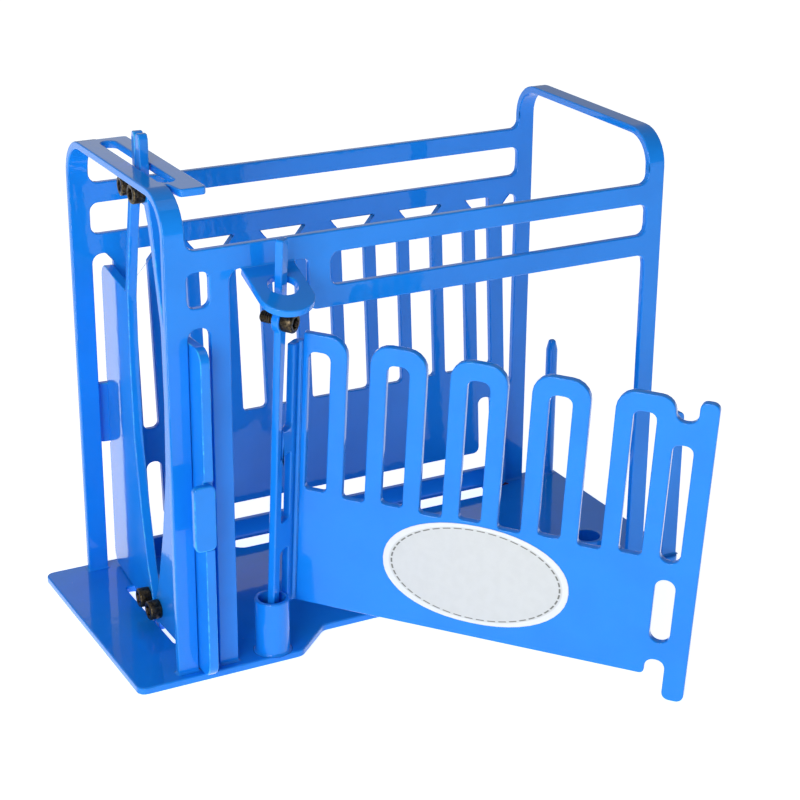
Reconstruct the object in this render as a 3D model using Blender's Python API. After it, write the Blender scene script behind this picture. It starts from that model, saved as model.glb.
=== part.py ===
"""Scale-model cattle squeeze chute.

A base plate carries a bent sheet frame. A head gate of two sliding shutters stands between the head
posts. A slotted squeeze panel leans in on the far side, and a slotted side door hangs on a leaning
pivot bar on the near side. Lengths are in millimetres until they reach a vertex, then metres.
X runs from head to tail, -Y is the door side, and z = 0 is the underside of the base plate.
"""
import math

import bpy
from mathutils import Matrix, Vector
from mathutils.geometry import delaunay_2d_cdt

# ---- driving dimensions (mm) ----
MM = 0.001
T = 2.66                      # sheet thickness, 12 gauge
MID = 93.45                   # station of the base plate's middle, measured from the head posts
GAP = 0.1                     # clearance left at welded seams

HALF_W = 44.64                # outer face of each side panel
POST_W = 7.3                  # head post 1
POST2 = (15.0, 21.8)          # head post 2
TAIL_POST = (179.7, 186.3)
TAIL_STOP = (195.1, 201.7)    # flat stub behind the near tail post
PIN_H = 58.0                  # height of the tail stub and of the round tail rod
TAIL_ROD = (198.5, 42.3)
COMB_END_BAR = (166.9, 173.0)       # the squeeze panel's last bar
RAIL2 = (121.2, 128.5)        # second rail, heights above the base plate
RAIL1 = (139.7, 146.9)        # top rail
TOP = 165.0                   # top of the bridge above the base plate
HEAD_BEND_R = 14.0
TAIL_BEND_R = 12.5
BRIDGE_D = 18.0               # depth of the head bridge
BRIDGE_ENDS = (-37.8, 32.6)   # where its flange ends, near and far

BASE_HEAD = -15.3
BASE_TAIL = 202.2
BASE_WING = 47.7
BASE_WAIST = 34.6
BASE_STEP = 168.8              # where the base widens again for the tail posts
GUIDE_SLOT = (7.0, 11.4, 24.0)      # x range and half length of the slot the shutter feet run in
BRIDGE_SLOT = (6.5, 12.0, 28.0)

COMB_LEAN = math.radians(4.4)       # bottom of the squeeze panel leans inward
COMB_PITCH = 14.25
COMB_SLOT = 9.45
COMB_CENTRE = 94.3
COMB_SLOT_BOTTOM = 54.4
COMB_FOOT = 3.0
KICK_BOTTOM = 19.1

RING_SLOPE = math.radians(20.0)
RING_HOLE = (35.5, 10.1, 4.9)       # station, distance from the bend along the slope, radius

PIVOT = (35.58, -41.59)             # where the door's axis crosses the top of the base plate
DOOR_LEAN = math.radians(4.95)      # the axis leans outward at the top
DOOR_OPEN = math.radians(45.6)      # how far the door stands open at rest
DOOR_SET_A = 1.87                   # door edge ahead of the axis
DOOR_SET_F = 11.66                  # door face inside the axis
DOOR_RISE = 13.47                   # lower edge above the base plate, along the axis
DOOR_H = 101.2
DOOR_L = 137.9
LOOP_PITCH = 26.84
LOOP_2 = 24.95
LOOP_LEG = 5.74
LOOP_SLOT = 7.55
SLOT_FLOOR = 44.0
GAP_FLOOR = 43.2

SHUTTER_T = 3.3
SHUTTER_X = 9.15                    # mid plane of the head gate
SHUTTER_OUT = 49.7
NEAR_C = -3.9                       # meeting line of the near shutter
FAR_C = -3.5
FAR_YAW = math.radians(4.7)         # the far shutter stands a little askew in its wide slot
TAB_Z = (48.8, 71.6)
EYE = (5.0, 156.9)                  # the screws: distance out from the meeting line, and height
TOE = (4.9, 6.6)

SCREW_R = 2.05
HEAD_R = 3.43
HEAD_H = 4.2


# ---- helpers ----
def clear_scene():
    for ob in list(bpy.data.objects):
        bpy.data.objects.remove(ob, do_unlink=True)
    for me in list(bpy.data.meshes):
        bpy.data.meshes.remove(me)


def rounded(points, seg=5):
    """Turn (x, y) or (x, y, r) corners into a polyline with arcs at the corners."""
    out = []
    n = len(points)
    for i in range(n):
        p = Vector(points[i][:2])
        r = points[i][2] if len(points[i]) > 2 else 0.0
        if r <= 0.0:
            out.append((p.x, p.y))
            continue
        a = Vector(points[i - 1][:2]) - p
        b = Vector(points[(i + 1) % n][:2]) - p
        half = a.angle(b) / 2.0
        cut = r / math.tan(half)
        t1 = p + a.normalized() * cut
        t2 = p + b.normalized() * cut
        c = p + (a.normalized() + b.normalized()).normalized() * (r / math.sin(half))
        a1 = math.atan2(t1.y - c.y, t1.x - c.x)
        a2 = math.atan2(t2.y - c.y, t2.x - c.x)
        d = (a2 - a1 + math.pi) % (2.0 * math.pi) - math.pi
        for k in range(seg + 1):
            w = a1 + d * k / seg
            out.append((c.x + r * math.cos(w), c.y + r * math.sin(w)))
    return out


def circle(cx, cy, r, n=28):
    turns = [2 * math.pi * k / n for k in range(n)]
    return [(cx + r * math.cos(a), cy + r * math.sin(a)) for a in turns]


def box_loop(x0, z0, x1, z1, r=0.0, seg=5):
    return rounded([(x0, z0, r), (x1, z0, r), (x1, z1, r), (x0, z1, r)], seg)


def area(loop):
    return 0.5 * sum(loop[i - 1][0] * loop[i][1] - loop[i][0] * loop[i - 1][1] for i in range(len(loop)))


def tidy(loop):
    out = []
    for p in loop:
        if not out or math.hypot(p[0] - out[-1][0], p[1] - out[-1][1]) > 0.02:
            out.append(p)
    if math.hypot(out[0][0] - out[-1][0], out[0][1] - out[-1][1]) <= 0.02:
        out.pop()
    return out


def within(loop, x, y):
    odd = False
    for i in range(len(loop)):
        ax, ay = loop[i - 1]
        bx, by = loop[i]
        if (ay > y) != (by > y) and x < ax + (y - ay) * (bx - ax) / (by - ay):
            odd = not odd
    return odd


def inside_triangles(loops, flat):
    """Triangles between the outline and its holes, wound anticlockwise, as indices into flat."""
    edges = []
    start = 0
    for lp in loops:
        m = len(lp)
        edges += [(start + i, start + (i + 1) % m) for i in range(m)]
        start += m
    got = delaunay_2d_cdt([Vector(p) for p in flat], edges, [], 0, 1e-6)
    where = [src[0] for src in got[3]]
    out = []
    for tri in got[2]:
        i, j, k = (where[v] for v in tri)
        a, b, c = flat[i], flat[j], flat[k]
        cross = (b[0] - a[0]) * (c[1] - a[1]) - (c[0] - a[0]) * (b[1] - a[1])
        x = (a[0] + b[0] + c[0]) / 3.0
        y = (a[1] + b[1] + c[1]) / 3.0
        if abs(cross) < 1e-7 or not within(loops[0], x, y) or any(within(h, x, y) for h in loops[1:]):
            continue
        out.append((i, j, k) if cross > 0 else (i, k, j))
    return out


def prism(outer, holes, w0, w1):
    """Closed solid from a flat outline with holes, between depths w0 and w1, in local u, v, w."""
    loops = [tidy(outer)] + [tidy(h) for h in holes]
    if area(loops[0]) < 0:
        loops[0].reverse()
    for h in loops[1:]:
        if area(h) > 0:
            h.reverse()
    flat = [p for lp in loops for p in lp]
    n = len(flat)
    verts = [(p[0], p[1], w0) for p in flat] + [(p[0], p[1], w1) for p in flat]
    faces = []
    for i, j, k in inside_triangles(loops, flat):
        faces.append((k, j, i))
        faces.append((i + n, j + n, k + n))
    start = 0
    for lp in loops:
        m = len(lp)
        for i in range(m):
            a = start + i
            b = start + (i + 1) % m
            faces.append((a, b, b + n, a + n))
        start += m
    return verts, faces


def turned(profile, n=28):
    """Closed solid of revolution about local w from (radius, w) points running bottom to top."""
    verts = []
    rings = []
    turns = [2 * math.pi * k / n for k in range(n)]
    for r, w in profile:
        if r < 1e-6:
            rings.append([len(verts)])
            verts.append((0.0, 0.0, w))
        else:
            rings.append(list(range(len(verts), len(verts) + n)))
            verts += [(r * math.cos(a), r * math.sin(a), w) for a in turns]
    faces = []
    closed = profile[0] == profile[-1]
    if closed:
        for _ in range(n):
            verts.pop()
        rings[-1] = rings[0]
    for lo, hi in zip(rings, rings[1:]):
        for k in range(n):
            q = (k + 1) % n
            if len(lo) == 1:
                faces.append((lo[0], hi[q], hi[k]))
            elif len(hi) == 1:
                faces.append((lo[k], lo[q], hi[0]))
            else:
                faces.append((lo[k], lo[q], hi[q], hi[k]))
    return verts, faces


def paint(name, rgb, rough, metal):
    mat = bpy.data.materials.new(name)
    mat.use_nodes = True
    sh = mat.node_tree.nodes["Principled BSDF"]
    sh.inputs["Base Color"].default_value = (rgb[0], rgb[1], rgb[2], 1.0)
    sh.inputs["Roughness"].default_value = rough
    sh.inputs["Metallic"].default_value = metal
    mat.diffuse_color = (rgb[0], rgb[1], rgb[2], 1.0)
    return mat


BLUE = ((0.03, 0.21, 0.62), 0.3, 0.0)
BLACK = ((0.035, 0.03, 0.025), 0.4, 0.8)
PAPER = ((0.82, 0.82, 0.80), 0.5, 0.0)


def add(name, shape, place, origin=(0.0, 0.0, 0.0), look=BLUE, smooth=False):
    """Make one object. place maps local mm to chute mm (station, y, height above the base plate)."""
    verts, faces = shape
    if place.to_3x3().determinant() < 0:
        faces = [f[::-1] for f in faces]
    org = Vector(origin)
    pts = [(place @ Vector(v) - org) * MM for v in verts]
    me = bpy.data.meshes.new(name)
    me.from_pydata([p[:] for p in pts], [], faces)
    me.update()
    ob = bpy.data.objects.new(name, me)
    bpy.context.scene.collection.objects.link(ob)
    ob.location = Vector((org.x - MID, org.y, org.z + T)) * MM
    me.materials.append(paint(name + "_paint", *look))
    if smooth:
        me.shade_smooth()
        me.set_sharp_from_angle(angle=math.radians(35.0))
    return ob


def axes(u, v, w, o):
    m = Matrix.Identity(4)
    for i, a in enumerate((u, v, w)):
        for j in range(3):
            m[j][i] = a[j]
    for j in range(3):
        m[j][3] = o[j]
    return m


def cut(target, tool, how):
    """Boolean target with tool, write the result back and drop the tool."""
    mod = target.modifiers.new("cut", "BOOLEAN")
    mod.operation = how
    mod.solver = "EXACT"
    mod.object = tool
    bpy.context.view_layer.update()
    deps = bpy.context.evaluated_depsgraph_get()
    me = bpy.data.meshes.new_from_object(target.evaluated_get(deps))
    target.modifiers.clear()
    old = target.data
    me.materials.clear()
    me.materials.append(old.materials[0])
    target.data = me
    me.name = target.name
    bpy.data.meshes.remove(old)
    bpy.data.objects.remove(tool, do_unlink=True)
    return target


# Plates standing in the X-Z plane take local (u, v) = (station, height) and w towards -Y.
def standing(y):
    return axes((1, 0, 0), (0, 0, 1), (0, -1, 0), (0, y, 0))


FLAT = axes((1, 0, 0), (0, 1, 0), (0, 0, 1), (0, 0, 0))
# Sections in the Y-Z plane take (u, v) = (y, height) and w towards +X.
ACROSS = axes((0, 1, 0), (0, 0, 1), (1, 0, 0), (0, 0, 0))


# ---- fixed frame ----
def base_plate():
    half = BASE_WAIST
    side = [(44.4, BASE_WING, 4.0), (58.5, half, 4.0), (BASE_STEP, half, 3.0), (BASE_STEP, 46.5, 2.0),
            (BASE_TAIL, 46.5, 3.0)]
    low = [(BASE_HEAD, -BASE_WING, 3.0)] + [(x, -y, r) for x, y, r in side]
    high = [(BASE_HEAD, BASE_WING, 3.0)] + side
    outline = rounded(low + high[::-1])
    x0, x1, h = GUIDE_SLOT
    slot = box_loop(x0, -h, x1, h, 2.0)
    return add("base_plate", prism(outline, [slot], -T, 0.0), FLAT)


def near_side_panel():
    p2 = POST2
    tp = TAIL_POST
    head_top = TOP - HEAD_BEND_R - GAP
    tail_top = TOP - TAIL_BEND_R - GAP
    g = GAP
    outline = rounded([
        (0.0, g), (POST_W, g), (POST_W, 121.2, 3.4), (p2[0], 121.2, 3.4), (p2[0], g), (p2[1], g),
        (p2[1], 139.0, 4.0), (49.6, 139.0, 2.2), (49.6, RAIL2[0], 3.0), (tp[0], RAIL2[0], 3.0), (tp[0], g),
        (tp[1], g), (tp[1], tail_top), (tp[0], tail_top), (tp[0], RAIL1[1], 3.0), (POST_W, RAIL1[1], 3.5),
        (POST_W, head_top), (0.0, head_top)])
    holes = [box_loop(57.3, RAIL2[1], tp[0], RAIL1[0], 3.0), box_loop(7.4, 127.9, 15.1, RAIL1[0], 2.6)]
    return add("near_side_panel", prism(outline, holes, HALF_W - T, HALF_W), standing(0.0))


def far_side_panel():
    tp = TAIL_POST
    p2 = POST2
    g = GAP
    head_top = TOP - HEAD_BEND_R - GAP
    tail_top = TOP - TAIL_BEND_R - GAP
    outline = rounded([
        (0.0, g), (POST_W, g), (POST_W, RAIL2[0], 3.4), (tp[0], RAIL2[0], 3.0), (tp[0], 42.0, 3.0),
        (173.6, 42.0, 1.5), (173.6, 7.7, 1.5), (p2[0], 7.7, 1.0), (p2[0], g), (tp[1], g), (tp[1], tail_top),
        (tp[0], tail_top), (tp[0], RAIL1[1], 3.0), (POST_W, RAIL1[1], 3.5), (POST_W, head_top),
        (0.0, head_top)])
    holes = [box_loop(POST_W, RAIL2[1], tp[0], RAIL1[0], 3.0)]
    return add("far_side_panel", prism(outline, holes, -HALF_W, -HALF_W + T), standing(0.0))


def squeeze_comb():
    """Leaning slotted panel. Local v is measured down the lean from the second rail."""
    lean = COMB_LEAN
    top = RAIL2[0] - GAP

    def down(z):
        return -(top - z) / math.cos(lean)
    a0, a1 = POST2
    b0, b1 = COMB_END_BAR
    slot_l = COMB_CENTRE - 4 * COMB_PITCH - COMB_SLOT / 2 - 5.0
    slot_r = COMB_CENTRE + 4 * COMB_PITCH + COMB_SLOT / 2 + 5.0
    low = down(COMB_FOOT)
    ear = down(41.5)
    floor = down(COMB_SLOT_BOTTOM)
    kick = down(KICK_BOTTOM)
    pts = [(a0, low, 2.5), (a1, low, 2.5), (a1, ear, 2.5), (slot_l, ear, 2.5), (slot_l, kick, 2.5),
           (slot_r, kick, 2.5), (slot_r, ear, 2.5), (b0, ear, 2.5), (b0, low, 2.5), (b1, low, 2.5),
           (b1, -3.2), (b1 + 3.0, 0.0), (b0, 0.0), (b0, floor, 2.0), (slot_r, floor, 2.0), (slot_r, -4.9)]
    h = COMB_SLOT / 2
    # the rail side: funnels open through the top edge between the loops
    pts.append((slot_r - 4.9, 0.0))
    for k in (3, 1, -1, -3):
        c = COMB_CENTRE + k * COMB_PITCH
        pts += [(c + h + 4.9, 0.0), (c + h, -4.9), (c + h, down(COMB_SLOT_BOTTOM), 1.6),
                (c - h, down(COMB_SLOT_BOTTOM), 1.6), (c - h, -4.9), (c - h - 4.9, 0.0)]
    pts += [(slot_l + 4.9, 0.0), (slot_l, -4.9), (slot_l, floor, 2.0), (a1, floor, 2.0), (a1, 0.0),
            (a0 - 3.0, 0.0), (a0, -3.2)]
    outline = rounded(pts, 4)
    holes = []
    for k in (-4, -2, 0, 2, 4):
        c = COMB_CENTRE + k * COMB_PITCH
        holes.append(rounded([(c - h, down(COMB_SLOT_BOTTOM), 1.6), (c + h, down(COMB_SLOT_BOTTOM), 1.6),
                              (c + h, -7.0, 3.0), (c - h, -7.0, 3.0)], 4))
    # the plane's inner face starts just inside the panel's inner face and swings inward as it drops
    v = (0.0, math.sin(lean), math.cos(lean))
    w = (0.0, -math.cos(lean), math.sin(lean))
    place = axes((1, 0, 0), v, w, (0.0, HALF_W - T, top))
    return add("squeeze_comb", prism(outline, holes, -T, 0.0), place)


def arch_loop(r, z_leg):
    """Closed cross section of the bent top band: legs, two bends and the flat."""
    ri = r - T
    h = HALF_W
    out = [(-h, z_leg)]
    for k in range(9):
        a = math.pi - k * math.pi / 16
        out.append((-h + r + r * math.cos(a), TOP - r + r * math.sin(a)))
    for k in range(9):
        a = math.pi / 2 - k * math.pi / 16
        out.append((h - r + r * math.cos(a), TOP - r + r * math.sin(a)))
    out += [(h, z_leg), (h - T, z_leg)]
    for k in range(9):
        a = k * math.pi / 16
        out.append((h - r + ri * math.cos(a), TOP - r + ri * math.sin(a)))
    for k in range(9):
        a = math.pi / 2 + k * math.pi / 16
        out.append((-h + r + ri * math.cos(a), TOP - r + ri * math.sin(a)))
    out.append((-h + T, z_leg))
    return out


def head_bridge():
    shape = prism(arch_loop(HEAD_BEND_R, TOP - HEAD_BEND_R), [], 0.0, POST_W)
    band = add("head_bridge", shape, ACROSS, smooth=True)
    e0, e1 = BRIDGE_ENDS
    s = HALF_W - HEAD_BEND_R - 0.5
    flange = rounded([(4.0, -s), (POST_W + 0.6, -s, 1.0), (POST_W + 1.6, e0, 1.6), (BRIDGE_D, e0, 1.5),
                      (BRIDGE_D, e1, 1.5), (POST_W, e1), (POST_W, s), (4.0, s)], 4)
    ears = add("ears", prism(flange, [], TOP - T, TOP), FLAT)
    cut(band, ears, "UNION")
    x0, x1, h = BRIDGE_SLOT
    hole = add("hole", prism(box_loop(x0, -h, x1, h, 2.6), [], TOP - T - 2.0, TOP + 2.0), FLAT)
    return cut(band, hole, "DIFFERENCE")


def tail_arch():
    shape = prism(arch_loop(TAIL_BEND_R, TOP - TAIL_BEND_R), [], *TAIL_POST)
    return add("tail_arch", shape, ACROSS, smooth=True)


def ring_bracket():
    """Tongue bent out of the top rail; local v runs down the slope, away from the panel."""
    s = RING_SLOPE
    corners = [(26.0, 0.0), (44.2, 0.0, 0.5), (43.6, 20.5, 8.0), (35.4, 23.6, 9.0), (25.6, 22.0, 8.0)]
    outline = rounded(corners, 8)
    hole = circle(RING_HOLE[0], RING_HOLE[1], RING_HOLE[2], 36)
    v = (0.0, -math.cos(s), -math.sin(s))
    w = (0.0, -math.sin(s), math.cos(s))
    place = axes((1, 0, 0), v, w, (0.0, -HALF_W - 1.05, 138.75))
    return add("ring_bracket", prism(outline, [hole], -T, 0.0), place)


def cup(name, x, y, r, wall, height):
    ri = r - wall
    prof = [(0.0, GAP), (r, GAP), (r, height - 0.4), (r - 0.4, height), (ri + 0.3, height),
            (ri, height - 0.3), (ri, 1.6), (0.0, 1.6)]
    place = axes((1, 0, 0), (0, 1, 0), (0, 0, 1), (x, y, 0.0))
    return add(name, turned(prof, 32), place, smooth=True)


def tail_rod():
    r = 2.35
    prof = [(0.0, GAP), (r, GAP), (r, PIN_H - 4.0), (r - 0.85, PIN_H - 0.6), (r - 1.35, PIN_H), (0.0, PIN_H)]
    place = axes((1, 0, 0), (0, 1, 0), (0, 0, 1), (TAIL_ROD[0], TAIL_ROD[1], 0.0))
    return add("tail_rod", turned(prof, 20), place, smooth=True)


def tail_stop():
    x0, x1 = TAIL_STOP
    outline = rounded([(x0, GAP), (x1, GAP), (x1, PIN_H, 2.4), (x0, PIN_H, 2.4)])
    return add("tail_stop", prism(outline, [], HALF_W - T, HALF_W), standing(0.0))


# ---- side door ----
AXIS = Vector((0.0, -math.sin(DOOR_LEAN), math.cos(DOOR_LEAN)))
OUT0 = Vector((0.0, -math.cos(DOOR_LEAN), -math.sin(DOOR_LEAN)))
AHEAD0 = Vector((1.0, 0.0, 0.0))
U = AHEAD0 * math.cos(DOOR_OPEN) + OUT0 * math.sin(DOOR_OPEN)
N = OUT0 * math.cos(DOOR_OPEN) - AHEAD0 * math.sin(DOOR_OPEN)
FOOT = Vector((PIVOT[0], PIVOT[1], 0.0))
HINGE = FOOT + AXIS * 10.0


def door_frame():
    """Local (u, v, w) = along the door, up the axis, out of its outer face."""
    return axes(U, AXIS, N, FOOT)


BEND_MID = 2.5                # mid-line radius of the bend at the door's hinge edge
FLANGE_TILT = math.radians(7.3)


def bend_centre():
    """Centre of the hinge-edge bend, and the ends of its mid line, in the (u, w) section plane."""
    mid_w = -DOOR_SET_F - T / 2
    d = Vector((math.sin(FLANGE_TILT), -math.cos(FLANGE_TILT)))
    side = Vector((math.cos(FLANGE_TILT), math.sin(FLANGE_TILT)))
    # centre lies BEND_MID from the flange line (through the axis) and BEND_MID above the door's mid line
    cw = mid_w + BEND_MID
    dist = (side.y * BEND_MID - cw) / -d.y
    c = d * dist + side * BEND_MID
    return c, d, side, dist


def side_door():
    x = DOOR_SET_A
    y = DOOR_RISE
    top = y + DOOR_H

    def leg(k):
        return x + LOOP_2 + (k - 2) * LOOP_PITCH
    wide = 2 * LOOP_LEG + LOOP_SLOT
    s = 6.6
    first = bend_centre()[0].x + GAP
    pts = [(first, y), (x + 123.9, y, 1.6), (x + 123.9, y + 6.2, 3.0), (x + 130.5, y + 6.2, 3.0),
           (x + 130.5, y - 8.3, 2.6), (x + DOOR_L, y - 8.3, 2.6), (x + DOOR_L, top + 0.2, 2.4),
           (x + 131.6, top + 0.2, 2.4), (x + 131.6, y + 93.4, 3.2), (leg(5) + wide + 0.4, y + 93.4, 3.0),
           (leg(5) + wide - 0.6, top, 5.0), (leg(5), top, s)]
    for k in (4, 3, 2, 1):
        pts += [(leg(k + 1), y + GAP_FLOOR, 1.5), (leg(k) + wide, y + GAP_FLOOR, 1.5),
                (leg(k) + wide, top, s)]
        pts.append((leg(k), top, s) if k > 1 else (first, top))
    holes = []
    for k in (1, 2, 3, 4, 5):
        a = leg(k) + LOOP_LEG
        b = a + LOOP_SLOT
        holes.append(rounded([(a, y + SLOT_FLOOR, 1.6), (b, y + SLOT_FLOOR, 1.6), (b, top - 6.4, 2.6),
                              (a, top - 6.4, 2.6)], 4))
    holes.append(rounded([(x + 124.6, y + 43.1, 3.2), (x + 131.3, y + 43.1, 3.2), (x + 131.3, y + 85.4, 2.6),
                          (x + 124.6, y + 85.4, 2.6)], 5))
    holes.append(box_loop(x + 124.3, y + 13.0, x + 131.0, y + 36.6, 3.3, 6))
    f = -DOOR_SET_F
    return add("side_door", prism(rounded(pts), holes, f - T, f), door_frame(), HINGE)


def door_bend():
    c, d, side, _ = bend_centre()
    a1 = math.atan2(-side.y, -side.x)
    a2 = -math.pi / 2
    a1 = a1 if a1 < a2 else a1 - 2 * math.pi
    n = 8
    loop = []
    for r in (BEND_MID + T / 2, BEND_MID - T / 2):
        arc = []
        for k in range(n + 1):
            a = a1 + (a2 - a1) * k / n
            arc.append((c.x + r * math.cos(a), c.y + r * math.sin(a)))
        if r < BEND_MID:
            arc.reverse()
        loop += arc
    # section plane (u, w) extruded up the axis
    place = axes(U, N, -AXIS, FOOT)
    lo = -(DOOR_RISE + DOOR_H - 3.0)
    return add("door_bend", prism(loop, [], lo, -DOOR_RISE), place, HINGE, smooth=True)


def door_pivot_bar():
    """Bar, eye, two necks and the strip beside the bend, cut from the flange."""
    c, d, side, dist = bend_centre()
    end = dist - GAP
    e = 4.0
    zs = 123.2
    bar_top = 150.8
    top = DOOR_RISE + DOOR_H - 3.0
    pts = [(-2.0, 2.1), (2.0, 2.1), (2.0, 37.0, 1.5), (end - 3.0, 37.0, 1.5), (end - 3.0, DOOR_RISE),
           (end, DOOR_RISE), (end, top), (end - 3.0, top), (end - 3.0, 82.3, 1.5), (2.0, 82.3, 1.5),
           (2.0, zs - 4.4, 0.8)]
    loop = rounded(pts, 4)
    for k in range(9):
        a = math.radians(-60 + 120 * k / 8)
        loop.append((e * math.cos(a), zs + e * math.sin(a)))
    loop += rounded([(2.0, zs + 4.4), (2.0, bar_top, 0.8), (-2.0, bar_top, 0.8), (-2.0, zs + 4.4)], 3)
    for k in range(9):
        a = math.radians(120 + 120 * k / 8)
        loop.append((e * math.cos(a), zs + e * math.sin(a)))
    window = box_loop(2.0, 48.0, end - 3.0, 73.0, 1.5)
    hole = circle(0.0, zs, 2.2, 24)
    du = U * d.x + N * d.y
    dw = du.cross(AXIS)
    place = axes(du, AXIS, dw, FOOT)
    ob = add("door_pivot_bar", prism(loop, [window, hole], -T / 2, T / 2), place, HINGE)
    return ob, du, dw, zs


def screw(name, place, length, origin=(0.0, 0.0, 0.0)):
    """Socket cap screw. Local w runs from the head's top down the shank; w = 0 under the head."""
    h = HEAD_H
    prof = [(0.0, -h + 2.2), (1.9, -h + 2.2), (1.9, -h), (HEAD_R - 0.4, -h), (HEAD_R, -h + 0.4),
            (HEAD_R, 0.0), (SCREW_R, 0.0), (SCREW_R, length - 0.5), (SCREW_R - 0.5, length), (0.0, length)]
    return add(name, turned(prof, 24), place, origin, BLACK, smooth=True)


def door_label():
    cx = DOOR_SET_A + 64.6
    cy = DOOR_RISE + 24.3
    loop = []
    for k in range(48):
        a = 2 * math.pi * k / 48
        ca = math.cos(a)
        sa = math.sin(a)
        x = cx + 32.0 * math.copysign(abs(ca) ** 0.94, ca)
        y = cy + 18.6 * math.copysign(abs(sa) ** 0.94, sa)
        loop.append((x, y))
    f = -DOOR_SET_F + 0.02
    return add("door_label", prism(loop, [], f, f + 0.15), door_frame(), HINGE, PAPER)


# ---- head gate ----
def shutter_outline():
    o = SHUTTER_OUT
    z0, z1 = TAB_Z
    pts = [(4.4, -T + 0.3), (4.4, 0.6, 0.4), (o, 0.6, 5.0), (o, z0 - 0.6), (o - 1.2, z0 - 0.6),
           (o - 1.2, z1 + 0.6), (o, z1 + 0.6), (o, 117.2, 5.0), (19.0, 115.8, 0.8), (15.6, 130.0, 6.0),
           (14.0, 138.0, 8.0), (11.5, 147.4)]
    loop = rounded(pts, 5)
    (ex, ez), er = EYE, 4.3
    for k in range(9):
        a = math.radians(-15 + 95 * k / 8)
        loop.append((ex + er * math.cos(a), ez + er * math.sin(a)))
    loop += [(3.6, 161.0), (3.6, 173.6), (2.7, 175.4), (1.0, 175.4), (0.2, 174.4), (0.2, 158.8),
             (0.75, 157.2)]
    for k in range(9):
        a = math.radians(188 + 92 * k / 8)
        loop.append((ex + er * math.cos(a), ez + er * math.sin(a)))
    loop += rounded([(8.0, 147.4), (10.9, 137.0, 9.0), (12.9, 128.5, 9.0), (16.3, 114.0, 14.0),
                     (16.9, 88.0, 60.0), (15.6, 62.0, 40.0), (10.9, 38.0, 25.0), (5.2, 17.0, 12.0),
                     (1.2, 8.0, 2.0), (0.3, 4.0, 0.0), (0.3, -T + 0.3)], 5)
    return loop


def head_gate(side, c, yaw):
    """side -1 is the near shutter, +1 the far one. Local (u, v, w) = outward, up, towards the tail."""
    out = Vector((math.sin(yaw), side * math.cos(yaw), 0.0))
    tail = Vector((math.cos(yaw), -side * math.sin(yaw), 0.0))
    org = Vector((SHUTTER_X, c, 0.0))
    place = axes(out, (0, 0, 1), tail, org)
    tag = "near" if side < 0 else "far"
    h = SHUTTER_T / 2
    holes = [circle(*EYE, 2.2, 24), circle(*TOE, 2.2, 24)]
    add(tag + "_shutter", prism(shutter_outline(), holes, -h, h), place, org)
    z0, z1 = TAB_Z
    o = SHUTTER_OUT - 1.2 + GAP
    # tab section: (u, v) = (towards the tail, up), thickness outward
    tab = axes(tail, (0, 0, 1), out, org)
    add(tag + "_shutter_tab", prism(box_loop(-h - 4.2, z0, h, z1, 2.0), [], o, o + T), tab, org)
    for label, (u, v) in (("top", EYE), ("foot", TOE)):
        at = org + out * u + Vector((0, 0, v)) - tail * (h + 0.05)
        screw(tag + "_" + label + "_screw", axes(out, Vector((0, 0, 1)), tail, at), 6.2, at)


# ---- build ----
def build():
    clear_scene()
    base_plate()
    near_side_panel()
    far_side_panel()
    squeeze_comb()
    head_bridge()
    tail_arch()
    ring_bracket()
    cup("pivot_cup", 35.5, -42.2, 6.0, 1.5, 19.8)
    cup("tail_cup", 170.9, -29.9, 6.0, 1.3, 8.0)
    tail_rod()
    tail_stop()
    side_door()
    door_bend()
    _, du, dw, zs = door_pivot_bar()
    at = FOOT + AXIS * zs + dw * (T / 2 + 0.05)
    screw("door_screw", axes(-du, AXIS, -dw, at), 8.1, HINGE)
    door_label()
    head_gate(-1, NEAR_C, 0.0)
    head_gate(1, FAR_C, FAR_YAW)


build()
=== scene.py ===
import math

import bmesh
import bpy
from mathutils import Matrix, Vector, noise
from mathutils.kdtree import KDTree


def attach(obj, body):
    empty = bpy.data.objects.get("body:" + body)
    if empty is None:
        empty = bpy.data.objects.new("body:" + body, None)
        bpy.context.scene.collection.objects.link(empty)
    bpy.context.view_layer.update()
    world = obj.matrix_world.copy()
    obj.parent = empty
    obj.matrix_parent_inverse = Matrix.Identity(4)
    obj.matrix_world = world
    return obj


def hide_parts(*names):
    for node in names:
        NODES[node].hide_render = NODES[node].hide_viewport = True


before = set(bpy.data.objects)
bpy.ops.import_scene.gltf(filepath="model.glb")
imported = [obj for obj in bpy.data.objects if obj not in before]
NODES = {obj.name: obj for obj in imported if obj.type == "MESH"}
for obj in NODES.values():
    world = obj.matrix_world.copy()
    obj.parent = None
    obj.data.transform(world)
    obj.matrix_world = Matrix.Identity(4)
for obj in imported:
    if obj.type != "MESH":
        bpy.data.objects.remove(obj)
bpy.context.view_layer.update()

# ---- dimensions shared with the CAD source, in millimetres at chute stations ----
MM = 0.001
T = 2.66                       # sheet thickness
MID = 93.45                    # station at the row frame's origin
HALF_W = 44.64                 # outer face of each side panel
TOP = 165.0                    # top of the bridge
POST_W = 7.3                   # head post 1
POST_2 = (15.0, 21.8)
TAIL_POST = (179.7, 186.3)
TAIL_STOP = (195.1, 201.7)
HEAD_BEND_R = 14.0
HEAD_BEND_FACET = math.radians(11.25)
BRIDGE_END = 32.6              # where the bridge's flange ends on the far side
RAIL_FOOT = 121.2              # lower edge of the far rails, where the squeeze panel starts
RING_SLOPE = math.radians(20.0)
RING_BEND_Y = -HALF_W - 1.05   # upper edge of the ring's tongue
DOOR_LEAN = math.radians(4.95)
DOOR_OPEN = math.radians(45.6)
FLANGE_TILT = math.radians(7.3)
DOOR_SCREW_H = 123.2           # along the hinge's axis from its foot
FAR_YAW = math.radians(4.7)
SHUTTER_X = 9.15
SHUTTER_T = 3.3
NEAR_C = -3.9                  # where each shutter's edge stands
FAR_C = -3.5
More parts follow.
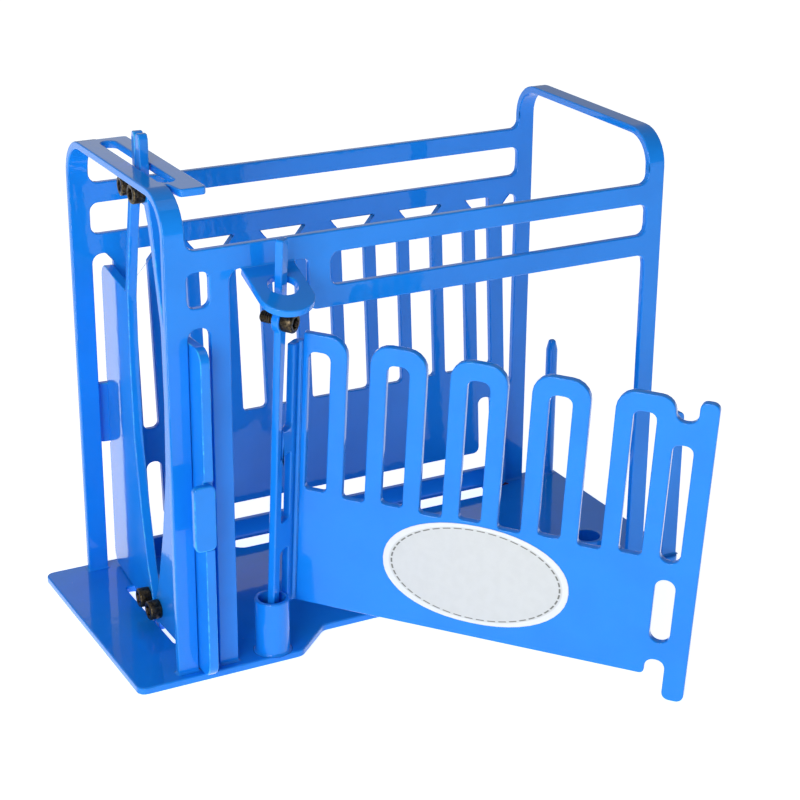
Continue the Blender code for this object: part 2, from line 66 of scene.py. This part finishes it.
EYE = (5.0, 156.9)             # the head gate's screws: distance out from the meeting line, and height
TOE = (4.9, 6.6)
SCREW_R = 2.05
HEAD_R = 3.43
HEAD_H = 4.2
PITCH = 0.79                   # thread pitch
SOCKET = 3.57                  # hex socket across flats
LABEL_AT = (66.47, 37.77, -11.5)   # sticker's centre: along the door, up its axis, and out
LABEL_HALF = (32.0, 18.6)

STATION = Vector((1.0, 0.0, 0.0))
UP = Vector((0.0, 0.0, 1.0))
AXIS = Vector((0.0, -math.sin(DOOR_LEAN), math.cos(DOOR_LEAN)))
OUT0 = Vector((0.0, -math.cos(DOOR_LEAN), -math.sin(DOOR_LEAN)))
U = STATION * math.cos(DOOR_OPEN) + OUT0 * math.sin(DOOR_OPEN)      # along the open door
N = OUT0 * math.cos(DOOR_OPEN) - STATION * math.sin(DOOR_OPEN)      # square to it
FOOT = Vector((35.58, -41.59, 0.0))                                 # the hinge axis at the base plate
DU = U * math.sin(FLANGE_TILT) - N * math.cos(FLANGE_TILT)          # along the pivot bar's width
DW = DU.cross(AXIS)                                                 # square to the pivot bar

# ---- mesh tolerances ----
SAME = 2e-6                    # corners closer than this, in metres, are one
LOOSE = 2e-5                   # slack when a corner is looked up by its place
SEAM = 0.00013                 # the CAD leaves 0.1 mm between the pieces of one bent sheet
FLAT = math.radians(0.5)       # faces that meet within this are one
HARD = math.radians(38)        # edges sharper than this are rounded


def row(p):
    """Chute millimetres (station, y, height above the base plate) to row-frame metres."""
    return Vector((p[0] - MID, p[1], p[2] + T)) * MM


def axes(u, v, w, o):
    """Matrix from local millimetres to row-frame metres; o is a point in chute millimetres."""
    m = Matrix.Identity(4)
    for i, a in enumerate((u, v, w)):
        for j in range(3):
            m[j][i] = a[j] * MM
    m.translation = row(o)
    return m


# ---- materials ----
class Nodes:
    """Short hand for building a material's node tree."""

    def __init__(self, name):
        self.mat = bpy.data.materials.new(name)
        self.mat.use_nodes = True
        self.tree = self.mat.node_tree
        self.tree.nodes.clear()
        self.out = self.tree.nodes.new("ShaderNodeOutputMaterial")
        self.sh = self.tree.nodes.new("ShaderNodeBsdfPrincipled")
        self.link(self.sh.outputs[0], self.out.inputs["Surface"])
        self.pos = self.tree.nodes.new("ShaderNodeTexCoord").outputs["Object"]

    def link(self, a, b):
        self.tree.links.new(a, b)

    def put(self, socket, value):
        """Link a socket, or set a constant."""
        if isinstance(value, bpy.types.NodeSocket):
            self.link(value, socket)
        else:
            socket.default_value = value

    def math(self, op, a, b=0.5, clamp=False):
        n = self.tree.nodes.new("ShaderNodeMath")
        n.operation = op
        n.use_clamp = clamp
        self.put(n.inputs[0], a)
        self.put(n.inputs[1], b)
        return n.outputs[0]

    def times(self, a, b, clamp=False):
        return self.math("MULTIPLY", a, b, clamp)

    def noise(self, scale, detail=2.0, rough=0.5):
        n = self.tree.nodes.new("ShaderNodeTexNoise")
        n.inputs["Scale"].default_value = scale
        n.inputs["Detail"].default_value = detail
        n.inputs["Roughness"].default_value = rough
        self.link(self.pos, n.inputs["Vector"])
        return n.outputs["Fac"]

    def cells(self, scale):
        n = self.tree.nodes.new("ShaderNodeTexVoronoi")
        n.inputs["Scale"].default_value = scale
        self.link(self.pos, n.inputs["Vector"])
        return n.outputs["Distance"]

    def span(self, x, a, b, lo=0.0, hi=1.0):
        """x from a..b to lo..hi, smooth and clamped."""
        n = self.tree.nodes.new("ShaderNodeMapRange")
        n.interpolation_type = "SMOOTHSTEP"
        self.put(n.inputs["Value"], x)
        n.inputs["From Min"].default_value = a
        n.inputs["From Max"].default_value = b
        n.inputs["To Min"].default_value = lo
        n.inputs["To Max"].default_value = hi
        return n.outputs["Result"]

    def mix(self, fac, a, b, blend="MIX"):
        n = self.tree.nodes.new("ShaderNodeMix")
        n.data_type = "RGBA"
        n.blend_type = blend
        self.put(n.inputs[0], fac)
        self.put(n.inputs[6], (*a, 1.0) if isinstance(a, tuple) else a)
        self.put(n.inputs[7], (*b, 1.0) if isinstance(b, tuple) else b)
        return n.outputs[2]

    def vector(self, op, a, b):
        n = self.tree.nodes.new("ShaderNodeVectorMath")
        n.operation = op
        self.link(a, n.inputs[0])
        n.inputs[1].default_value = b
        return n.outputs["Value" if op == "DOT_PRODUCT" else "Vector"]

    def attribute(self, name):
        n = self.tree.nodes.new("ShaderNodeAttribute")
        n.attribute_name = name
        return n.outputs["Fac"]

    def xyz(self, vector):
        n = self.tree.nodes.new("ShaderNodeSeparateXYZ")
        self.link(vector, n.inputs[0])
        return n.outputs

    def normal_z(self):
        n = self.tree.nodes.new("ShaderNodeNewGeometry")
        return self.xyz(n.outputs["Normal"])[2]

    def bump(self, height, distance, strength):
        n = self.tree.nodes.new("ShaderNodeBump")
        n.inputs["Distance"].default_value = distance
        n.inputs["Strength"].default_value = strength
        self.put(n.inputs["Height"], height)
        return n.outputs["Normal"]

    def set(self, **values):
        """Principled inputs by name, with _ for a space."""
        for k, v in values.items():
            self.put(self.sh.inputs[k.replace("_", " ")], (*v, 1.0) if isinstance(v, tuple) else v)


BLUE = (0.007, 0.240, 0.840)
DEEP = (0.006, 0.222, 0.790)
CYAN = (0.030, 0.440, 0.820)
GREENISH = (0.10, 0.42, 0.42)
DUST = (0.45, 0.62, 0.85)
RUST = (0.16, 0.055, 0.018)
DARK_RUST = (0.05, 0.02, 0.01)
RUST_SPOT = (176.5, 40.2, 0.0)


def blue(m):
    """Slightly uneven blue."""
    return m.mix(m.span(m.noise(55.0, 3.0), 0.35, 0.7), BLUE, DEEP)


def specks(m, scale, size, density, low, high, up):
    """Dust grains of one size, in patches, mostly on what faces up."""
    grain = m.span(m.cells(scale), 0.02, size, 1.0, 0.0)
    return m.times(m.times(grain, m.span(m.noise(density, 2.0), low, high)), up, clamp=True)


def enamel(m, shade, grime, roughest, dull):
    """Gloss lacquer with orange peel; grime stands proud of it and dulls it."""
    rough = m.math("ADD", m.span(m.noise(38.0, 3.0), 0.3, 0.7, 0.16, roughest), m.times(grime, dull))
    peel = m.math("ADD", m.noise(420.0, 1.5), m.times(m.noise(95.0, 1.0), 1.6))
    n = m.bump(m.math("ADD", peel, m.times(grime, 0.6)), 0.00005, 0.35)
    m.set(Base_Color=shade, Roughness=rough, Normal=n, Coat_Weight=1.0, Coat_Roughness=0.03,
          Coat_IOR=1.38, Coat_Normal=n, IOR=1.45, Specular_IOR_Level=0.06)
    return m.mat


def blue_paint(name, thin):
    """Sprayed gloss enamel. thin is how much of the cut edges shows thin, greenish paint."""
    m = Nodes(name)
    shade = blue(m)
    # paint pulls back from the cut edges and shows lighter there, in blotches
    blotch = m.span(m.noise(260.0, 4.0, 0.65), 0.60 - 0.16 * thin, 0.74 - 0.10 * thin)
    edge = m.times(m.times(m.attribute("rim"), blotch), min(1.0, 0.35 + 0.6 * thin), clamp=True)
    shade = m.mix(edge, shade, CYAN)
    fleck = m.times(edge, m.span(m.noise(900.0, 3.0, 0.7), 0.60, 0.70), clamp=True)
    shade = m.mix(fleck, shade, GREENISH)
    # dust specks lie on what faces up, and a few stick anywhere
    up = m.span(m.normal_z(), 0.5, 0.95, 0.25, 1.0)
    dust = specks(m, 520.0, 0.06, 140.0, 0.60, 0.68, up)
    shade = m.mix(m.times(dust, 0.55), shade, DUST)
    return enamel(m, shade, dust, 0.26, 0.4)


def base_paint(name):
    """The base plate's enamel: as the rest, with more dust and one rusty spot by the far tail post."""
    m = Nodes(name)
    up = m.span(m.normal_z(), 0.5, 0.95, 0.1, 1.0)
    dust = specks(m, 430.0, 0.07, 120.0, 0.52, 0.64, up)
    powder = specks(m, 1100.0, 0.08, 70.0, 0.50, 0.66, up)
    dust = m.math("MAXIMUM", dust, m.times(powder, 0.6))
    shade = m.mix(m.times(dust, 0.6), blue(m), DUST)
    # the rusty spot: distance from its centre, with a ragged rim
    x, y, _ = m.xyz(m.pos)
    cx, cy = row(RUST_SPOT)[:2]
    dx = m.math("SUBTRACT", x, cx)
    dy = m.math("SUBTRACT", y, cy)
    d = m.math("SQRT", m.math("ADD", m.times(dx, dx), m.times(dy, dy)))
    d = m.math("ADD", d, m.times(m.math("SUBTRACT", m.noise(900.0, 3.0), 0.5), 0.0028))
    rust = m.span(d, 0.0010, 0.0019, 1.0, 0.0)
    brown = m.mix(m.span(m.noise(1500.0, 3.0), 0.4, 0.6), RUST, DARK_RUST)
    return enamel(m, m.mix(rust, shade, brown), m.math("MAXIMUM", dust, rust), 0.27, 0.45)


def black_oxide(name):
    """Oiled black steel, with a painted golden-brown highlight on the thread crests and head edges."""
    m = Nodes(name)
    shade = m.mix(m.span(m.noise(700.0, 3.0, 0.6), 0.45, 0.7), (0.016, 0.012, 0.009), (0.055, 0.040, 0.026))
    # painted highlight: the crests and edges marked with rim are coloured a lighter golden brown, in
    # patches
    crest_highlight = m.times(m.attribute("rim"), m.span(m.noise(1300.0, 2.0), 0.35, 0.6))
    shade = m.mix(crest_highlight, shade, (0.20, 0.15, 0.075))
    m.set(Base_Color=shade, Metallic=0.85, Roughness=m.span(m.noise(500.0, 3.0), 0.3, 0.7, 0.26, 0.42),
          Normal=m.bump(m.noise(2600.0, 2.0), 0.00003, 0.4))
    return m.mat


def sticker(name, centre, along, up, half_a, half_b):
    """Printed vinyl: a white rim, an off-white field and a dashed line just inside the rim."""
    m = Nodes(name)
    where = m.vector("SUBTRACT", m.pos, centre)
    a = m.math("DIVIDE", m.vector("DOT_PRODUCT", where, along), half_a)
    b = m.math("DIVIDE", m.vector("DOT_PRODUCT", where, up), half_b)
    r = m.math("SQRT", m.math("ADD", m.times(a, a), m.times(b, b)))
    field = m.span(r, 0.925, 0.945, 1.0, 0.0)
    shade = m.mix(field, (0.76, 0.78, 0.79), (0.62, 0.64, 0.635))
    line = m.times(m.span(r, 0.893, 0.900), m.span(r, 0.912, 0.919, 1.0, 0.0))
    dash = m.span(m.math("SINE", m.times(m.math("ARCTAN2", b, a), 46.0)), -0.75, -0.45)
    shade = m.mix(m.times(m.times(line, dash), 0.85), shade, (0.07, 0.07, 0.05))
    shade = m.mix(1.0, shade, m.span(m.noise(300.0, 2.0), 0.3, 0.7, 0.97, 1.0), "MULTIPLY")
    m.set(Base_Color=shade, Roughness=m.span(m.noise(120.0, 2.0), 0.3, 0.7, 0.34, 0.44),
          Normal=m.bump(m.noise(1800.0, 2.0), 0.00002, 0.3), Coat_Weight=0.15, Coat_Roughness=0.2)
    return m.mat


FRAME_PAINT = blue_paint("blue_enamel", 0.15)
GATE_PAINT = blue_paint("blue_enamel_worn_edges", 1.0)
BASE_PAINT = base_paint("blue_enamel_dusty")
OXIDE = black_oxide("black_oxide_steel")


# ---- mesh tools ----
def merge_flat(bm):
    bmesh.ops.dissolve_limit(bm, angle_limit=FLAT, verts=bm.verts, edges=bm.edges)


def clean_copy(node, nudge=None):
    """The CAD node's mesh with shared corners welded and flat regions whole; nudge may move corners."""
    bm = bmesh.new()
    bm.from_mesh(NODES[node].data)
    bmesh.ops.remove_doubles(bm, verts=bm.verts, dist=SAME)
    merge_flat(bm)
    if nudge:
        for v in bm.verts:
            v.co = nudge(v.co.copy())
    return bm


def weld_seams(parts):
    """Join meshes whose end faces match corner for corner, within the CAD's gap, into one mesh."""
    whole = bmesh.new()
    for bm in parts:
        if whole.verts:
            tree = KDTree(len(whole.verts))
            for i, v in enumerate(whole.verts):
                tree.insert(v.co, i)
            tree.balance()
            for v in bm.verts:
                near, _, d = tree.find(v.co)
                if d < SEAM:
                    v.co = near
        me = bpy.data.meshes.new("part")
        bm.to_mesh(me)
        bm.free()
        whole.from_mesh(me)
        bpy.data.meshes.remove(me)
    bmesh.ops.remove_doubles(whole, verts=whole.verts, dist=SAME)
    # the two end faces at a seam now lie on the same corners, and both go
    seen = {}
    for f in whole.faces:
        seen.setdefault(frozenset(v.index for v in f.verts), []).append(f)
    twice = [f for fs in seen.values() if len(fs) > 1 for f in fs]
    bmesh.ops.delete(whole, geom=twice, context="FACES_ONLY")
    merge_flat(whole)
    return whole


def as_object(bm, name):
    me = bpy.data.meshes.new(name)
    bm.to_mesh(me)
    bm.free()
    ob = bpy.data.objects.new(name, me)
    bpy.context.scene.collection.objects.link(ob)
    return ob


def union(a, b):
    """Add the mesh b to a with an exact boolean."""
    ob, tool = as_object(a, "body"), as_object(b, "tool")
    mod = ob.modifiers.new("join", "BOOLEAN")
    mod.operation = "UNION"
    mod.solver = "EXACT"
    mod.object = tool
    bpy.context.view_layer.update()
    me = bpy.data.meshes.new_from_object(ob.evaluated_get(bpy.context.evaluated_depsgraph_get()))
    bm = bmesh.new()
    bm.from_mesh(me)
    for o in (ob, tool):
        old = o.data
        bpy.data.objects.remove(o)
        bpy.data.meshes.remove(old)
    bpy.data.meshes.remove(me)
    bmesh.ops.remove_doubles(bm, verts=bm.verts, dist=4 * SAME)
    bmesh.ops.dissolve_degenerate(bm, edges=bm.edges, dist=4 * SAME)
    merge_flat(bm)
    return bm


def finish_piece(bm, name, body, mat, stands_for, r=0.5, seg=3):
    """Round the hard edges by r millimetres (none if 0), mark them for the paint, and make the piece."""
    layer = bm.verts.layers.float.new("rim")
    if r:
        hard = [e for e in bm.edges if len(e.link_faces) == 2 and e.calc_face_angle(0.0) > HARD]
        got = bmesh.ops.bevel(bm, geom=hard, offset=r * MM, offset_type="OFFSET", segments=seg, profile=0.5,
                              affect="EDGES", clamp_overlap=False, loop_slide=True)
        rim = set(got["faces"])
        for v in bm.verts:
            v[layer] = 1.0 if all(f in rim for f in v.link_faces) else 0.0
    bmesh.ops.remove_doubles(bm, verts=bm.verts, dist=2 * SAME)
    bmesh.ops.recalc_face_normals(bm, faces=bm.faces)
    for f in bm.faces:
        f.smooth = True
    ob = as_object(bm, name)
    ob.data.materials.append(mat)
    w = ob.modifiers.new("normals", "WEIGHTED_NORMAL")
    w.mode = "FACE_AREA_WITH_ANGLE"
    w.weight = 90
    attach(ob, body)
    if stands_for:
        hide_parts(*stands_for)
    return ob


def lofted(loops):
    """A mesh through equal-length loops of points, closed at both ends."""
    bm = bmesh.new()
    rings = [[bm.verts.new(p) for p in lp] for lp in loops]
    n = len(rings[0])
    for a, b in zip(rings, rings[1:]):
        for k in range(n):
            q = (k + 1) % n
            bm.faces.new((a[k], a[q], b[q], b[k]))
    bm.faces.new(rings[0][::-1])
    bm.faces.new(rings[-1])
    bmesh.ops.recalc_face_normals(bm, faces=bm.faces)
    return bm


# ---- frame ----
def bridge_copy():
    """The head bridge with its flange's far end laid along the first facet of the bend.

    In the CAD the flange runs straight on past the start of the bend, and the step is too thin to round.
    """
    bm = clean_copy("head_bridge")
    side, low = row((POST_W, 0, 0)).x, row((0, 0, TOP - T)).z
    start, end = (HALF_W - HEAD_BEND_R) * MM, BRIDGE_END * MM

    def at(a, b):
        return abs(a - b) < LOOSE

    # cut the bend's lower edge level with the flange's end, and join the cut to the flange's corner
    for e in list(bm.edges):
        first, last = sorted(e.verts, key=lambda v: v.co.y)
        a, b = first.co, last.co
        begins = at(a.x, side) and at(a.y, start) and at(a.z, low)
        if begins and at(b.x, side) and b.y > end and b.z < low - 1e-4:
            cut = bmesh.utils.edge_split(e, first, (end - a.y) / (b.y - a.y))[1]
            for f in list(cut.link_faces):
                for v in f.verts:
                    if v is not cut and at(v.co.y, end) and at(v.co.z, low):
                        bmesh.utils.face_split(f, v, cut)
                        break
            break
    fall = math.tan(HEAD_BEND_FACET / 2)
    for v in bm.verts:
        if (at(v.co.z, low) or at(v.co.z, low + T * MM)) and start < v.co.y < end + LOOSE:
            v.co.z -= fall * (v.co.y - start)
    bmesh.ops.remove_doubles(bm, verts=bm.verts, dist=1.5e-5)
    bmesh.ops.dissolve_degenerate(bm, edges=bm.edges, dist=SAME)
    return bm


def comb_top(co):
    """The squeeze panel's top edge reaches into the rail above it."""
    rail = row((0, 0, RAIL_FOOT)).z
    if co.z > rail - 0.6 * MM:
        co.z = rail + 0.4 * MM
    return co


def tongue_root(co):
    """The tongue's upper edge reaches into the rail it is bent from."""
    if co.y > (RING_BEND_Y - 1.0) * MM:
        co.y += 1.3 * MM * math.cos(RING_SLOPE)
        co.z += 1.3 * MM * math.sin(RING_SLOPE)
    return co


def frame_pieces():
    finish_piece(clean_copy("base_plate"), "base_sheet", "frame", BASE_PAINT, ["base_plate"],
                 r=0.55)
    sheet = weld_seams([bridge_copy()]
                       + [clean_copy(n) for n in ("near_side_panel", "tail_arch", "far_side_panel")])
    sheet = union(sheet, clean_copy("squeeze_comb", comb_top))
    sheet = union(sheet, clean_copy("ring_bracket", tongue_root))
    finish_piece(sheet, "frame_sheet", "frame", FRAME_PAINT,
                 ["head_bridge", "near_side_panel", "tail_arch", "far_side_panel", "squeeze_comb",
                  "ring_bracket"])
    for node, kind, r in (("pivot_cup", "_turned", 0.3), ("tail_cup", "_turned", 0.3),
                          ("tail_rod", "_turned", 0.3), ("tail_stop", "_sheet", 0.5)):
        finish_piece(clean_copy(node), node + kind, "frame", FRAME_PAINT, [node], r=r)


# ---- door and gates ----
def door_and_gate_sheets():
    door = weld_seams([clean_copy(n) for n in ("door_bend", "side_door", "door_pivot_bar")])
    finish_piece(door, "door_sheet", "door", FRAME_PAINT,
                 ["side_door", "door_bend", "door_pivot_bar"])
    for side in ("near", "far"):
        body = side + "_gate"
        finish_piece(clean_copy(side + "_shutter"), side + "_gate_leaf", body, GATE_PAINT,
                     [side + "_shutter"], r=0.42)
        finish_piece(clean_copy(side + "_shutter_tab"), side + "_gate_tab", body, GATE_PAINT,
                     [side + "_shutter_tab"])


# ---- paint and weld beads where the parts stand on the base ----
def bead(name, ring, size, inset):
    """A concave quarter-round through ring(offset, height, uneven), sunk into the upright and the base."""
    loops = [ring(-inset, -0.02, False)]
    for k in range(7):
        t = math.pi / 2 * k / 6
        loops.append(ring(size * (1 - math.sin(t)), size * (1 - math.cos(t)), True))
    loops.append(ring(-inset, size * 0.9, False))
    return finish_piece(lofted(loops), name, "frame", FRAME_PAINT, [], r=0)


def round_bead(name, x, y, r, size, n=56):
    """Uneven bead around an upright of radius r."""
    def ring(off, h, uneven):
        out = []
        for i in range(n):
            a = 2 * math.pi * i / n
            k = 1.0
            if uneven:
                k += 0.35 * noise.noise(Vector((math.cos(a) * 2.3 + x, math.sin(a) * 2.3 + y, 0.0)))
            out.append(row((x + (r + off * k) * math.cos(a), y + (r + off * k) * math.sin(a), h * k)))
        return out
    return bead(name, ring, size, 0.25)


def post_bead(name, x0, x1, y0, y1, size):
    """Uneven bead around a rectangular foot."""
    corner_steps, side_steps = 4, 6

    def ring(off, h, uneven):
        c = max(off, 0.0) + 0.3
        pts = []
        for cx, cy, a0 in ((x1, y1, 0), (x0, y1, 90), (x0, y0, 180), (x1, y0, 270)):
            sx = 1 if cx == x1 else -1
            sy = 1 if cy == y1 else -1
            for i in range(corner_steps + 1):
                a = math.radians(a0 + 90 * i / corner_steps)
                pts.append(Vector((cx + sx * (off - c) + c * math.cos(a),
                                   cy + sy * (off - c) + c * math.sin(a))))
        out = []
        for p, q in zip(pts, pts[1:] + pts[:1]):
            for s in range(side_steps):
                at = p.lerp(q, s / side_steps)
                k = 1.0
                if uneven:
                    k += 0.4 * noise.noise(Vector((at.x * 0.9, at.y * 0.9, 3.0)))
                wall = Vector((min(max(at.x, x0), x1), min(max(at.y, y0), y1)))
                at = wall + (at - wall) * k
                out.append(row((at.x, at.y, h * k)))
        return out
    return bead(name, ring, size, 0.3)


def beads():
    round_bead("pivot_cup_bead", 35.5, -42.2, 6.0, 0.75)
    round_bead("tail_cup_bead", 170.9, -29.9, 6.0, 0.7)
    round_bead("tail_rod_bead", 198.5, 42.3, 2.35, 0.7)
    near, far = (-HALF_W, -HALF_W + T), (HALF_W - T, HALF_W)
    for name, (x0, x1), (y0, y1) in (
            ("near_post_1_bead", (0.0, POST_W), near), ("near_post_2_bead", POST_2, near),
            ("near_tail_post_bead", TAIL_POST, near), ("tail_stop_bead", TAIL_STOP, near),
            ("far_post_1_bead", (0.0, POST_W), far), ("far_rail_bead", (POST_2[0], TAIL_POST[1]), far)):
        post_bead(name, x0, x1, y0, y1, 0.7)


# ---- socket head cap screws ----
def cap_screw(name, place, length, body, node):
    """Knurled head with a chamfer and a hex socket, and a rolled thread on the shank."""
    n = 96
    loops, rims = [], []

    def ring(radius, w, rim=0.0):
        """A loop at height w; radius is a number or a function of the corner; rim is how much of the
        painted golden-brown highlight the loop gets.
        """
        loop = []
        for k in range(n):
            r = radius(k) if callable(radius) else radius
            a = 2 * math.pi * k / n
            loop.append(place @ Vector((r * math.cos(a), r * math.sin(a), w)))
        loops.append(loop)
        rims.append(rim)

    def hexagon(flat):
        return lambda k: flat / 2 / math.cos((2 * math.pi * k / n) % (math.pi / 3) - math.pi / 6)

    def knurl(k):
        return HEAD_R - 0.05 * (k % 2)

    def thread(w):
        """Radius around the helix at height w, fading out at both ends of the shank."""
        depth = 0.40

        def radius(k):
            phase = (w / PITCH - k / n) % 1.0
            crest = 1.0 - abs(2.0 * phase - 1.0)
            end = min(1.0, (w - 0.3) / 0.7, (length - 0.35 - w) / 0.5)
            return SCREW_R - depth * max(0.0, end) * min(1.0, max(0.0, (1.0 - crest) * 1.25 - 0.05))
        return radius

    # the socket, from its floor to its mouth
    top = -HEAD_H
    ring(0.25, top + 2.75)
    ring(hexagon(SOCKET * 0.9), top + 2.35)
    ring(hexagon(SOCKET), top + 2.1)
    ring(hexagon(SOCKET), top + 0.22)
    ring(hexagon(SOCKET * 1.06), top + 0.04, 0.6)
    ring(hexagon(SOCKET * 1.12), top, 0.2)
    # the head, from its top face down
    ring(HEAD_R - 0.62, top)
    ring(HEAD_R - 0.40, top + 0.05, 0.5)
    ring(HEAD_R - 0.16, top + 0.22, 0.7)
    ring(knurl, top + 0.5, 0.4)
    ring(knurl, -0.45, 0.2)
    ring(HEAD_R - 0.12, -0.2, 0.4)
    ring(HEAD_R - 0.3, 0.0)
    # the shank
    ring(SCREW_R + 0.25, 0.0)
    ring(SCREW_R - 0.02, 0.18)
    steps = 8
    for i in range(int((length - 0.9) / PITCH * steps)):
        w = 0.45 + i * PITCH / steps
        ring(thread(w), w, 0.5)
    ring(SCREW_R - 0.45, length - 0.12)
    ring(SCREW_R - 0.8, length)

    bm = lofted(loops)
    bm.verts.ensure_lookup_table()
    layer = bm.verts.layers.float.new("rim")
    for i, r in enumerate(rims):
        for k in range(n):
            bm.verts[i * n + k][layer] = r
    for f in bm.faces:
        f.smooth = True
    ob = as_object(bm, name)
    ob.data.set_sharp_from_angle(angle=math.radians(40))
    ob.data.materials.append(OXIDE)
    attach(ob, body)
    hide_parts(node)
    return ob


def screws():
    for side, s, c, yaw in (("near", -1, NEAR_C, 0.0), ("far", 1, FAR_C, FAR_YAW)):
        out = Vector((math.sin(yaw), s * math.cos(yaw), 0.0))
        tail = Vector((math.cos(yaw), -s * math.sin(yaw), 0.0))
        for label, (u, v) in (("top", EYE), ("foot", TOE)):
            at = Vector((SHUTTER_X, c, 0.0)) + out * u + UP * v - tail * (SHUTTER_T / 2 + 0.05)
            cap_screw(f"{side}_{label}_cap_screw", axes(out, UP, tail, at), 6.2, side + "_gate",
                      f"{side}_{label}_screw")
    at = FOOT + AXIS * DOOR_SCREW_H + DW * (T / 2 + 0.05)
    cap_screw("door_cap_screw", axes(-DU, AXIS, -DW, at), 8.1, "door", "door_screw")


def door_sticker():
    along, height, out = LABEL_AT
    centre = FOOT + U * along + AXIS * height + N * out
    vinyl = sticker("printed_vinyl", row(centre), U, AXIS, LABEL_HALF[0] * MM, LABEL_HALF[1] * MM)
    finish_piece(clean_copy("door_label"), "door_sticker", "door", vinyl, ["door_label"],
                 r=0.05, seg=2)


# ---- floor, world, lights, camera ----
CAMERA_AT = (-0.30965, -0.6034, 0.34136)
CAMERA_AZ, CAMERA_EL, CAMERA_ROLL = -28.16, 21.89, 0.45
LENS = 91.305


def floor():
    bm = bmesh.new()
    bmesh.ops.create_grid(bm, x_segments=2, y_segments=2, size=6.0)
    ob = as_object(bm, "floor")
    m = Nodes("pale_floor")
    m.set(Base_Color=m.mix(m.noise(3.0), (0.90, 0.905, 0.915), (0.925, 0.93, 0.935)), Roughness=0.75,
          Specular_IOR_Level=0.15, Emission_Color=(0.93, 0.96, 1.0), Emission_Strength=0.82)
    ob.data.materials.append(m.mat)


def studio():
    """A room that is brighter behind the object than on its near side."""
    world = bpy.data.worlds.new("studio")
    bpy.context.scene.world = world
    world.use_nodes = True
    tree = world.node_tree
    tree.nodes.clear()
    out = tree.nodes.new("ShaderNodeOutputWorld")
    bg = tree.nodes.new("ShaderNodeBackground")
    bg.inputs["Color"].default_value = (1.0, 1.0, 1.0, 1.0)
    coord = tree.nodes.new("ShaderNodeTexCoord")
    split = tree.nodes.new("ShaderNodeSeparateXYZ")
    level = tree.nodes.new("ShaderNodeMapRange")
    level.interpolation_type = "SMOOTHSTEP"
    for key, value in (("From Min", -0.55), ("From Max", 0.45), ("To Min", 0.14), ("To Max", 0.36)):
        level.inputs[key].default_value = value
    tree.links.new(coord.outputs["Generated"], split.inputs[0])
    tree.links.new(split.outputs["Y"], level.inputs["Value"])
    tree.links.new(level.outputs["Result"], bg.inputs["Strength"])
    tree.links.new(bg.outputs[0], out.inputs[0])


def toward(az, el):
    """Unit vector from the object to a viewer at azimuth az and elevation el, in degrees."""
    a, e = math.radians(az), math.radians(el)
    return Vector((math.sin(a) * math.cos(e), -math.cos(a) * math.cos(e), math.sin(e)))


def area_light(name, az, el, dist, size, power, target):
    back = toward(az, el)
    data = bpy.data.lights.new(name, "AREA")
    data.shape = "RECTANGLE"
    data.size, data.size_y = size
    data.energy = power
    ob = bpy.data.objects.new(name, data)
    bpy.context.scene.collection.objects.link(ob)
    ob.location = Vector(target) + back * dist
    ob.rotation_mode = "QUATERNION"
    ob.rotation_quaternion = (-back).to_track_quat("-Z", "Y")


def camera():
    back = toward(CAMERA_AZ, CAMERA_EL)
    az, roll = math.radians(CAMERA_AZ), math.radians(CAMERA_ROLL)
    right = Vector((math.cos(az), math.sin(az), 0.0))
    right = right * math.cos(roll) + back.cross(right) * math.sin(roll)
    turn = Matrix((right, back.cross(right), back)).transposed()
    data = bpy.data.cameras.new("camera")
    data.lens = LENS
    data.sensor_width = 36.0
    data.clip_start, data.clip_end = 0.01, 50.0
    cam = bpy.data.objects.new("camera", data)
    bpy.context.scene.collection.objects.link(cam)
    cam.matrix_world = Matrix.Translation(CAMERA_AT) @ turn.to_4x4()
    bpy.context.scene.camera = cam


frame_pieces()
door_and_gate_sheets()
beads()
screws()
door_sticker()
floor()
studio()
area_light("key", -48, 21, 0.95, (0.5, 0.4), 5.2, (-0.05, -0.05, 0.04))
area_light("top", 20, 75, 1.1, (0.8, 0.5), 0.8, (0.0, -0.02, 0.07))
area_light("back", 160, 16, 1.5, (0.8, 0.35), 0.3, (-0.09, 0.0, 0.16))
camera()
bpy.context.scene.view_settings.view_transform = "Standard"
